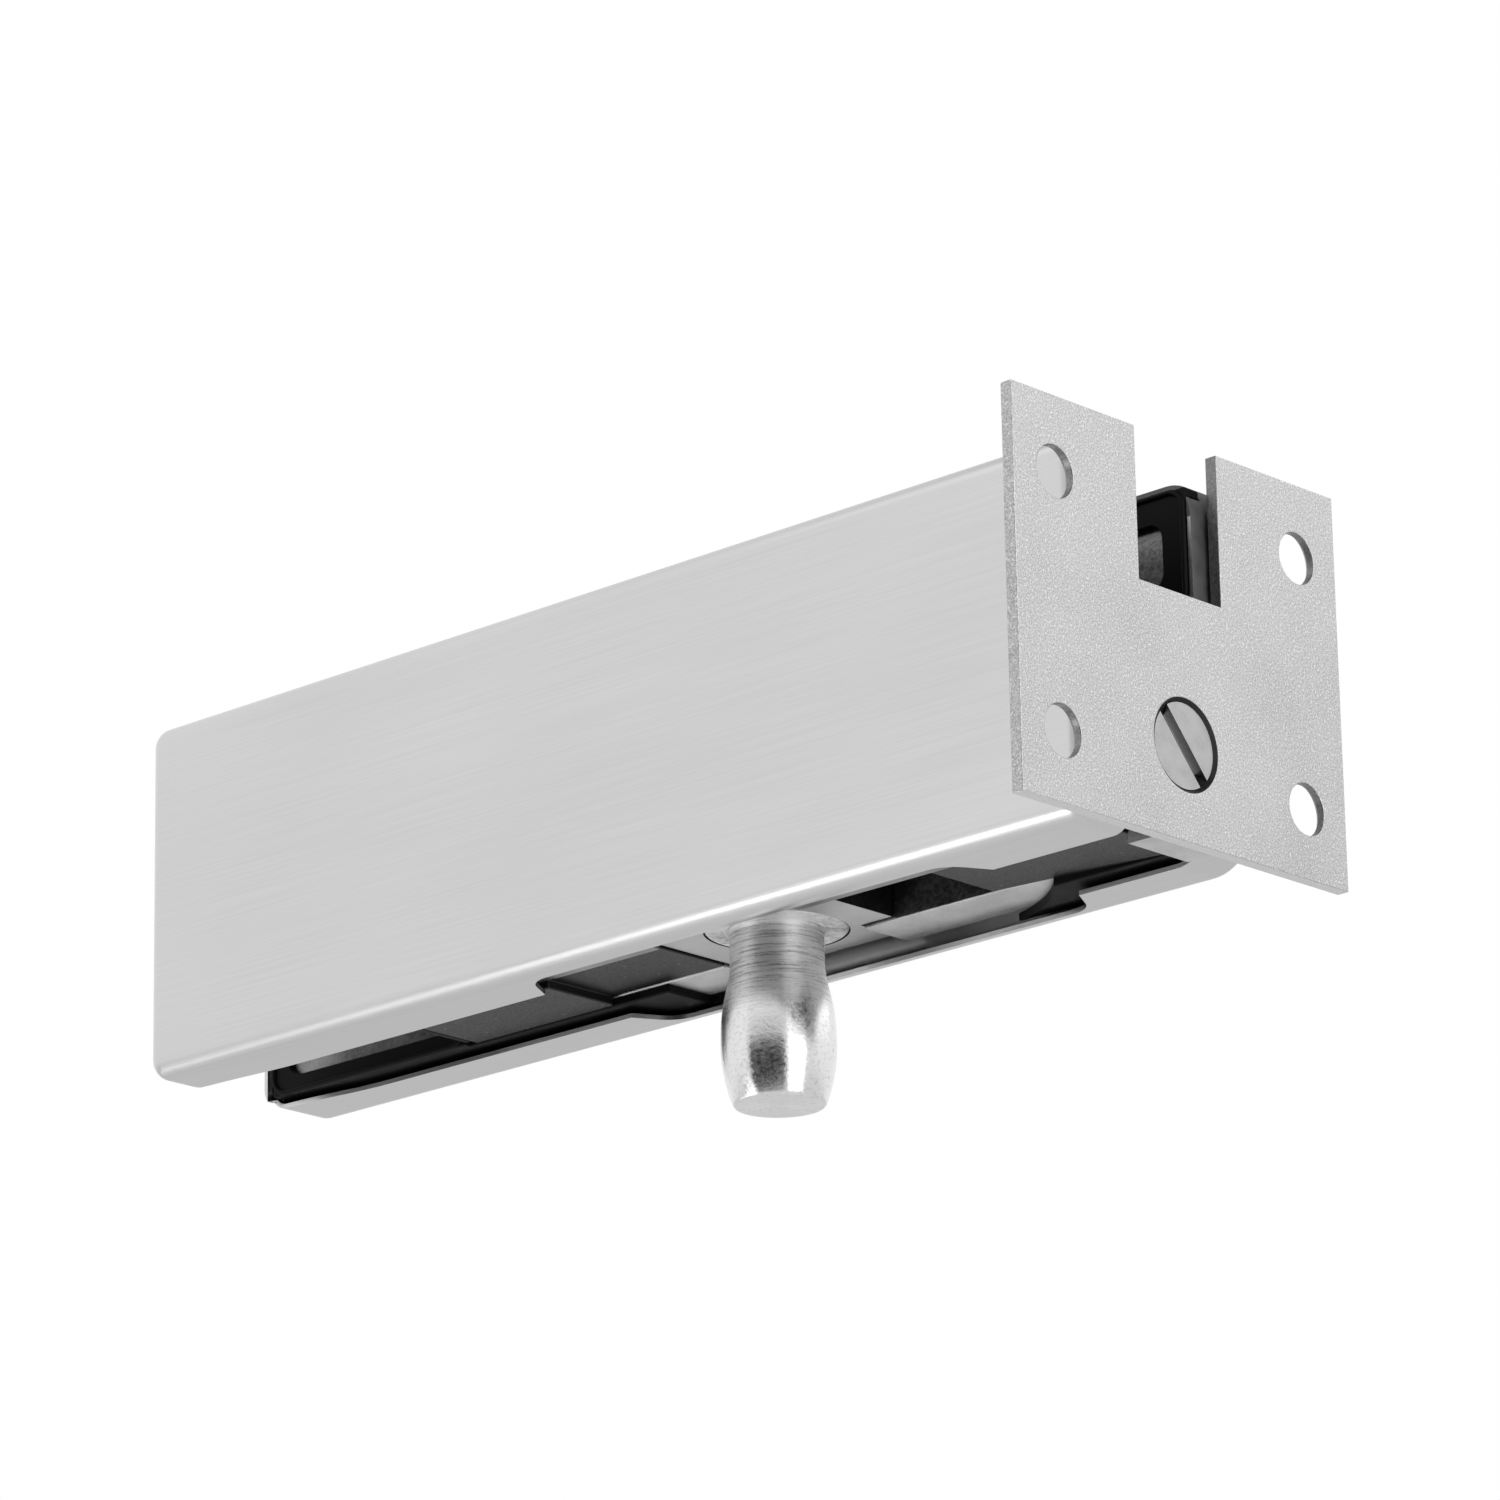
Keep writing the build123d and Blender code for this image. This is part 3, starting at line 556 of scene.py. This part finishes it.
def cover_mesh(name, side):
    """Closed mesh of a cover, sewn from its rings."""
    outside, inside = cover_rings(cover_outline(side))
    shape = bmesh.new()
    corners = {}

    def vertex(point):
        """Vertex at a point of the drawing, one for all that meet there."""
        key = tuple(round(c, 4) for c in point)
        if key not in corners:
            x, y, z = point
            corners[key] = shape.verts.new(place(x, side * y, z))
        return corners[key]

    def patch(*points):
        """Face of the points that differ, left out where it has no area."""
        verts = list(dict.fromkeys(vertex(point) for point in points))
        if len(verts) > 2 and shape.faces.get(verts) is None:
            face = shape.faces.new(verts)
            if face.calc_area() < 1e-12:
                shape.faces.remove(face)

    def skin(rings):
        """Faces between each ring and the next."""
        for a, b in zip(rings, rings[1:]):
            for i in range(len(a)):
                j = (i + 1) % len(a)
                patch(a[i], a[j], b[j], b[i])

    skin(outside)
    skin(inside)
    skin([inside[-1], outside[0]])
    patch(*outside[-1])
    patch(*inside[0])
    mesh = bpy.data.meshes.new(name)
    fill_mesh(mesh, shape)
    return mesh


def cover(name, node, side):
    """Cover of bent sheet: lower flange with its notch, rounded folds, end walls, face and inner skin."""
    obj = show(name, cover_mesh(name, side))
    grain = obj.data.uv_layers.new(name="grain")
    for face in obj.data.polygons:
        end_wall = abs(face.normal.x) > 0.7
        for corner in face.loop_indices:
            x, y, z = obj.data.vertices[obj.data.loops[corner].vertex_index].co
            grain.data[corner].uv = (z, y) if end_wall else (z - side * y, x)
    finish_piece(obj, STEEL, [node], COVER_EDGE_EASE, 3, 40)

    def mill_finish_and_painted_shade(face):
        """The end wall at the plate, its upper corner and the upper cut edge keep the mill's finish, painted
        darker as shade.
        """
        at = drawn(face.center)
        high = at.z > COVER_HEIGHT - MILL_AND_SHADE_TOP
        at_wall = at.x > COVER_RIGHT - WALL_CORNER_RADIUS[side] and face.normal.x > (0.2 if high else 0.6)
        return at_wall or (high and face.normal.y * side < -0.6)

    # these mill-finish faces are painted darker, as shade under the plate and inside the covers
    paint_faces(obj, MILL_STEEL_AND_PAINTED_SHADE, mill_finish_and_painted_shade)


# Pin, ridges and screws
def smooth_run(start, start_handle, end_handle, end, count):
    """Smooth run of an outline, without its first point, by its ends and their handles."""
    return [tuple(point) for point in interpolate_bezier(start, start_handle, end_handle, end, count)][1:]


def pin_profile():
    """Half outline of the pin, as (radius, z), from the foot over the crowned barrel to the shank."""
    # the handles follow the pin's outline in the photo
    foot = (FOOT_RADIUS - 0.53, FOOT_END)
    barrel_low = (FOOT_RADIUS, BARREL_LOW)
    widest = (BARREL_RADIUS, BARREL_MIDDLE)
    neck = (NECK_RADIUS, NECK_LOW)
    neck_top = (NECK_RADIUS, COLLAR_LOW - 0.8)
    collar = (NECK_RADIUS + 0.85, COLLAR_LOW)
    return [(0.0, FOOT_END), foot,
            *smooth_run(foot, (5.75, FOOT_END), (5.92, -19.4), barrel_low, 5),
            *smooth_run(barrel_low, (7.14, -15.97), (BARREL_RADIUS, -13.31), widest, 13),
            *smooth_run(widest, (BARREL_RADIUS, -5.37), (NECK_RADIUS, -4.72), neck, 17),
            neck_top,
            *smooth_run(neck_top, (NECK_RADIUS, 2.7), (6.3, COLLAR_LOW), collar, 7),
            (COLLAR_RADIUS - 0.2, COLLAR_LOW), (COLLAR_RADIUS, COLLAR_LOW + 0.2),
            (COLLAR_RADIUS, COLLAR_HIGH), (SHANK_RADIUS, COLLAR_HIGH),
            (SHANK_RADIUS, SHANK_END - 0.5), (SHANK_RADIUS - 0.5, SHANK_END), (0.0, SHANK_END)]


def turned_pin():
    """Pivot pin, turned from its half outline."""
    centre_radius = 1.0
    points = [(r - centre_radius, -(z + LIFT), 0.0) for r, z in pin_profile()]
    obj = made_by(lathe_tree(), "turned_pivot_pin", polyline("pin_outline", points, closed=False),
                  {"Facets": 144, "Centre Radius": centre_radius / 1000, "Material": PIN_STEEL})
    finish_piece(obj, PIN_STEEL, ["pivot_pin"], sharp=38)


def liner_ridge(name, side):
    """Raised ridge moulded round the face of a liner, which seals on the glass."""
    left, right = LINER_LEFT + RIDGE_INSET, LINER_RIGHT - RIDGE_INSET
    low, high = LINER_LOW[side] + RIDGE_INSET, LINER_HIGH - RIDGE_INSET
    notch_x = FILLER_LEFT - FILLER_GAP - RIDGE_INSET
    notch_z = FILLER_TOP + FILLER_GAP + RIDGE_INSET
    path = [(left, low), (notch_x, low), (notch_x, notch_z), (right, notch_z), (right, high), (left, high)]
    points = [(x, side * LINER_FACE, z + LIFT) for x, z in path]
    obj = made_by(ridge_tree(), name, polyline(name + "_path", points, closed=True),
                  {"Corner Radius": RIDGE_RADIUS / 1000, "Bead": RIDGE_BEAD / 1000, "Material": RUBBER})
    finish_piece(obj, RUBBER, [], sharp=60)


def clamp_screws():
    """The three socket screws inside the front half."""
    points = [(x, SCREW_SEAT, z + LIFT) for x, z in SCREW_PLACES]
    metres = {"Head Radius": HEAD_DIAMETER / 2, "Head Middle": -HEAD_HEIGHT / 2, "Head Height": HEAD_HEIGHT,
              "Socket Radius": SOCKET_WIDTH / math.sqrt(3), "Socket Mouth": -HEAD_HEIGHT,
              "Socket Height": SOCKET_DEPTH * 2, "Root Radius": SCREW_DIAMETER * ROOT_SHARE / 2,
              "Shank Middle": SCREW_LENGTH / 2, "Length": SCREW_LENGTH, "Pitch": SCREW_PITCH,
              "Crest": SCREW_DIAMETER * (1 - ROOT_SHARE) / 2}
    metres = {label: size / 1000 for label, size in metres.items()}
    obj = made_by(screws_tree(), "socket_clamp_screws", polyline("screw_places", points, closed=False),
                  {**metres, "Turns": round(SCREW_LENGTH / SCREW_PITCH), "Material": BLACK_STEEL})
    finish_piece(obj, BLACK_STEEL, ["clamp_screws"])


# Wall plate and the pieces shown as their solids are
def wall_plate():
    """Plate with its holes opened on the far side: punched walls darker than its face, partly as painted
    shade, and the screw's seat painted dark as shade.
    """
    obj = from_node("wall_plate", "slotted_wall_plate")
    shape = bmesh.new()
    shape.from_mesh(obj.data)
    bmesh.ops.bisect_plane(shape, geom=shape.verts[:] + shape.edges[:] + shape.faces[:], dist=1e-6,
                           plane_co=place(PLATE_FACE - HOLE_LAND, 0, 0), plane_no=(1, 0, 0))
    for y, z in PLATE_HOLES:
        centre = place(PLATE_BACK, y, z)
        for vertex in shape.verts:
            reach = vertex.co - centre
            if abs(reach.x) < 1e-5 and reach.length < (PLATE_HOLE_RADIUS + 0.1) / 1000:
                vertex.co = centre + reach * ((PLATE_HOLE_RADIUS + HOLE_SINK) / PLATE_HOLE_RADIUS)
    shape.to_mesh(obj.data)
    shape.free()
    finish_piece(obj, PLATE_STEEL, ["wall_plate"], 0.12)

    def punched(face):
        """Walls of the holes and the slot."""
        at = drawn(face.center)
        inside = abs(at.y) < PLATE_WIDTH / 2 - PLATE_RIM
        inside = inside and PLATE_LOW + PLATE_RIM < at.z < PLATE_HIGH - PLATE_RIM
        return inside and abs(face.normal.x) < 0.9

    def screw_seat(face):
        """Countersink under the screw's head, painted dark as the shade of the gap round it."""
        at = drawn(face.center)
        return punched(face) and math.hypot(at.y, at.z - WALL_SCREW_HEIGHT) < WALL_SCREW_SEAT_RADIUS

    def lower_edge(face):
        """The sheet's lower edge."""
        return face.normal.z < -0.9 and drawn(face.center).z < PLATE_LOW + PLATE_RIM

    # the punched walls are darker, partly as painted shade inside the holes and slot
    paint_faces(obj, CUT_STEEL, punched)
    # the screw's seat is painted near black as shade
    paint_faces(obj, SKIN_AND_PAINTED_SHADE, screw_seat)
    paint_faces(obj, SHEARED_STEEL, lower_edge)


def front_liner():
    """Front liner, its lower edge lifted out of sight behind the flange."""
    obj = from_node("front_liner", "front_rubber_liner")
    for vertex in obj.data.vertices:
        vertex.co.z = max(vertex.co.z, place(0, 0, LINER_LOW[-1]).z)
    finish_piece(obj, RUBBER, ["front_liner"], 0.2)


def wall_plate_screw():
    """Slotted screw sunk a little way into its countersink, with a dark gap round its head."""
    obj = from_node("wall_plate_screw", "slotted_plate_screw")
    for vertex in obj.data.vertices:
        axis = place(vertex.co.x * 1000 - WALL_SCREW_SINK, 0, WALL_SCREW_HEIGHT)
        reach = Vector((0, vertex.co.y, vertex.co.z - axis.z))
        vertex.co = axis + reach * WALL_SCREW_SHARE
    finish_piece(obj, ZINC, ["wall_plate_screw"], 0.1)


def eased(node, name, material, bevel, segments=2):
    """A solid shown as it is but for its eased edges."""
    return finish_piece(from_node(node, name), material, [node], bevel, segments)


cover("front_cover_sheet", "front_cover", -1)
cover("rear_cover_sheet", "rear_cover", 1)
turned_pin()
clamp_screws()
wall_plate()
wall_plate_screw()
liner_ridge("front_liner_ridge", -1)
liner_ridge("rear_liner_ridge", 1)

eased("front_clamp_body", "front_casting", BODY_METAL, 0.5, 3)
# The bar of the rear casting is filed underneath, and painted paler there as the light it catches from below
paint_faces(eased("rear_clamp_body", "rear_casting", BODY_METAL, 0.5, 3), ARM_METAL,
            lambda face: face.normal.z < -0.5 and abs(drawn(face.center).z - BAR_UNDERSIDE) < 0.4)
eased("notch_filler", "nylon_filler", NYLON, 0.3)
# The block is machined above and below; its sides keep the casting's skin, painted near black as the shade of
# its pocket
paint_faces(eased("pivot_block", "cast_pivot_block", BLOCK_METAL, 0.25), SKIN_AND_PAINTED_SHADE,
            lambda face: abs(face.normal.z) < 0.5)
eased("wall_plate_spacer", "cast_spacer", ARM_METAL, 0.2)
front_liner()
eased("rear_liner", "rear_rubber_liner", RUBBER, 0.2)
eased("front_lip_strip", "front_rubber_strip", RUBBER, 0.3)
eased("rear_lip_strip", "rear_rubber_strip", RUBBER, 0.3)
eased("glass_edge_liner", "rubber_edge_liner", RUBBER, 0.2)
eased("pin_set_screw", "socket_set_screw", BLACK_STEEL, 0.1)
eased("front_cover_clips", "front_spring_clips", SPRING_STEEL, 0.1)
eased("rear_cover_clips", "rear_spring_clips", SPRING_STEEL, 0.1)


# Studio
def place_camera():
    """Camera at the photograph's angle, worked out from corners of the covers and the plate in the photo."""
    eye = Vector((590.29, -639.45, -239.07)) / 1000
    aim = Vector((5.48, -10.2, 35.09)) / 1000
    roll = math.radians(-1.03)
    lens = bpy.data.cameras.new("lens")
    lens.lens = 173.755
    lens.sensor_width = 36.0
    lens.sensor_fit = "HORIZONTAL"
    lens.clip_start = 0.05
    lens.clip_end = 50.0
    camera = show("camera", lens)
    camera.location = eye
    camera.rotation_mode = "QUATERNION"
    camera.rotation_quaternion = (eye - aim).to_track_quat("Z", "Y") @ Quaternion((0, 0, 1), roll)
    bpy.context.scene.camera = camera


def toward(azimuth, elevation, distance):
    """Point round the fitting: azimuth 0 is in front of it, 90 at its wall end."""
    a, e = math.radians(azimuth), math.radians(elevation)
    return Vector((math.sin(a) * math.cos(e), -math.cos(a) * math.cos(e), math.sin(e))) * distance


def stage_sheet(name, centre, normal, width, height, material):
    """Flat sheet of the studio, facing along its normal."""
    mesh = bpy.data.meshes.new(name)
    w, h = width / 2, height / 2
    mesh.from_pydata([(-w, -h, 0), (w, -h, 0), (w, h, 0), (-w, h, 0)], [], [(0, 1, 2, 3)])
    mesh.materials.append(material)
    obj = show(name, mesh)
    obj.rotation_mode = "QUATERNION"
    obj.rotation_quaternion = Vector(normal).to_track_quat("Z", "Y")
    obj.location = centre
    return obj


def dark_card(*sizes):
    """Dark sheet that only reflections see, so that bright metal has something to mirror."""
    sheet = stage_sheet(*sizes)
    sheet.visible_camera = False
    sheet.visible_diffuse = False
    sheet.visible_shadow = False


def soft_box(name, azimuth, elevation, distance, width, height, brightness):
    """Area lamp aimed at the fitting, of that brightness as seen in a mirror."""
    light = bpy.data.lights.new(name, "AREA")
    light.shape = "RECTANGLE"
    light.size = width
    light.size_y = height
    light.energy = brightness * math.pi * width * height
    obj = show(name, light)
    obj.location = toward(azimuth, elevation, distance)
    obj.rotation_mode = "QUATERNION"
    obj.rotation_quaternion = obj.location.to_track_quat("Z", "Y")
    obj.visible_camera = False


def seen_directly(tree):
    """1 for the rays that see a background itself: from the camera, off metal and through glass."""
    ray = add(tree, "ShaderNodeLightPath").outputs
    seen = ray["Is Camera Ray"]
    for kind in ("Is Glossy Ray", "Is Transmission Ray"):
        seen = add(tree, "ShaderNodeMath", {"operation": "MAXIMUM"}, {0: seen, 1: ray[kind]})
    return seen


def floor_paint():
    """Pale matt paint that keeps the fitting's shadow and blends into the white behind it."""
    material, tree, shader, at = start_material("pale_floor", "E6E6E6", 0.0, 0.8)
    tone = summed(tree, (even(tree, at, 400.0), 0.0, 1.0))
    dark, light = colour("E4E4E4"), colour("E8E8E8")
    paint = add(tree, "ShaderNodeMix", {"data_type": "RGBA", 6: dark, 7: light}, {0: tone})
    tree.links.new(paint.outputs[2], shader.inputs["Base Color"])
    glow = add(tree, "ShaderNodeEmission", {"Color": (1, 1, 1, 1), "Strength": 0.88})
    share = summed(tree, (seen_directly(tree), 0.0, 0.55, 0.0, 1.0))
    lit = add(tree, "ShaderNodeMixShader", links={0: share, 1: shader, 2: glow})
    tree.links.new(lit.outputs[0], tree.nodes["Material Output"].inputs["Surface"])
    return material


def white_world():
    """White world, a little dimmer as a light than as a background."""
    world = bpy.data.worlds.new("studio")
    world.use_nodes = True
    bpy.context.scene.world = world
    sky = world.node_tree
    sky.nodes.clear()
    level = summed(sky, (seen_directly(sky), 0.65, 1.0, 0.0, 1.0))
    white = add(sky, "ShaderNodeBackground", {"Color": (1, 1, 1, 1)}, {"Strength": level})
    add(sky, "ShaderNodeOutputWorld", links={"Surface": white})


place_camera()
stage_sheet("studio_floor", (0, 0, -0.6), (0, 0, 1), 12.0, 12.0, floor_paint())
card_paint = start_material("dark_card", "161616", 0.0, 0.9)[0]
dark_card("dark_card_by_the_camera", toward(18, -6, 1.3), toward(18, -6, -1.0), 2.0, 0.95, card_paint)
dark_card("dark_ceiling", (0, 0, 2.2), (0, 0, -1), 3.0, 3.0, card_paint)

soft_box("strip_light", 80, 1, 1.2, 0.7, 1.1, 1.8)
soft_box("low_softbox", -56, -40, 1.1, 0.9, 0.4, 1.8)
soft_box("near_softbox", -32, -40, 1.1, 0.5, 0.7, 4.6)
soft_box("high_softbox", -20, 60, 1.4, 1.2, 1.2, 0.5)
soft_box("back_softbox", 150, 40, 1.4, 1.0, 1.0, 0.8)
white_world()
bpy.context.scene.view_settings.view_transform = "Standard"
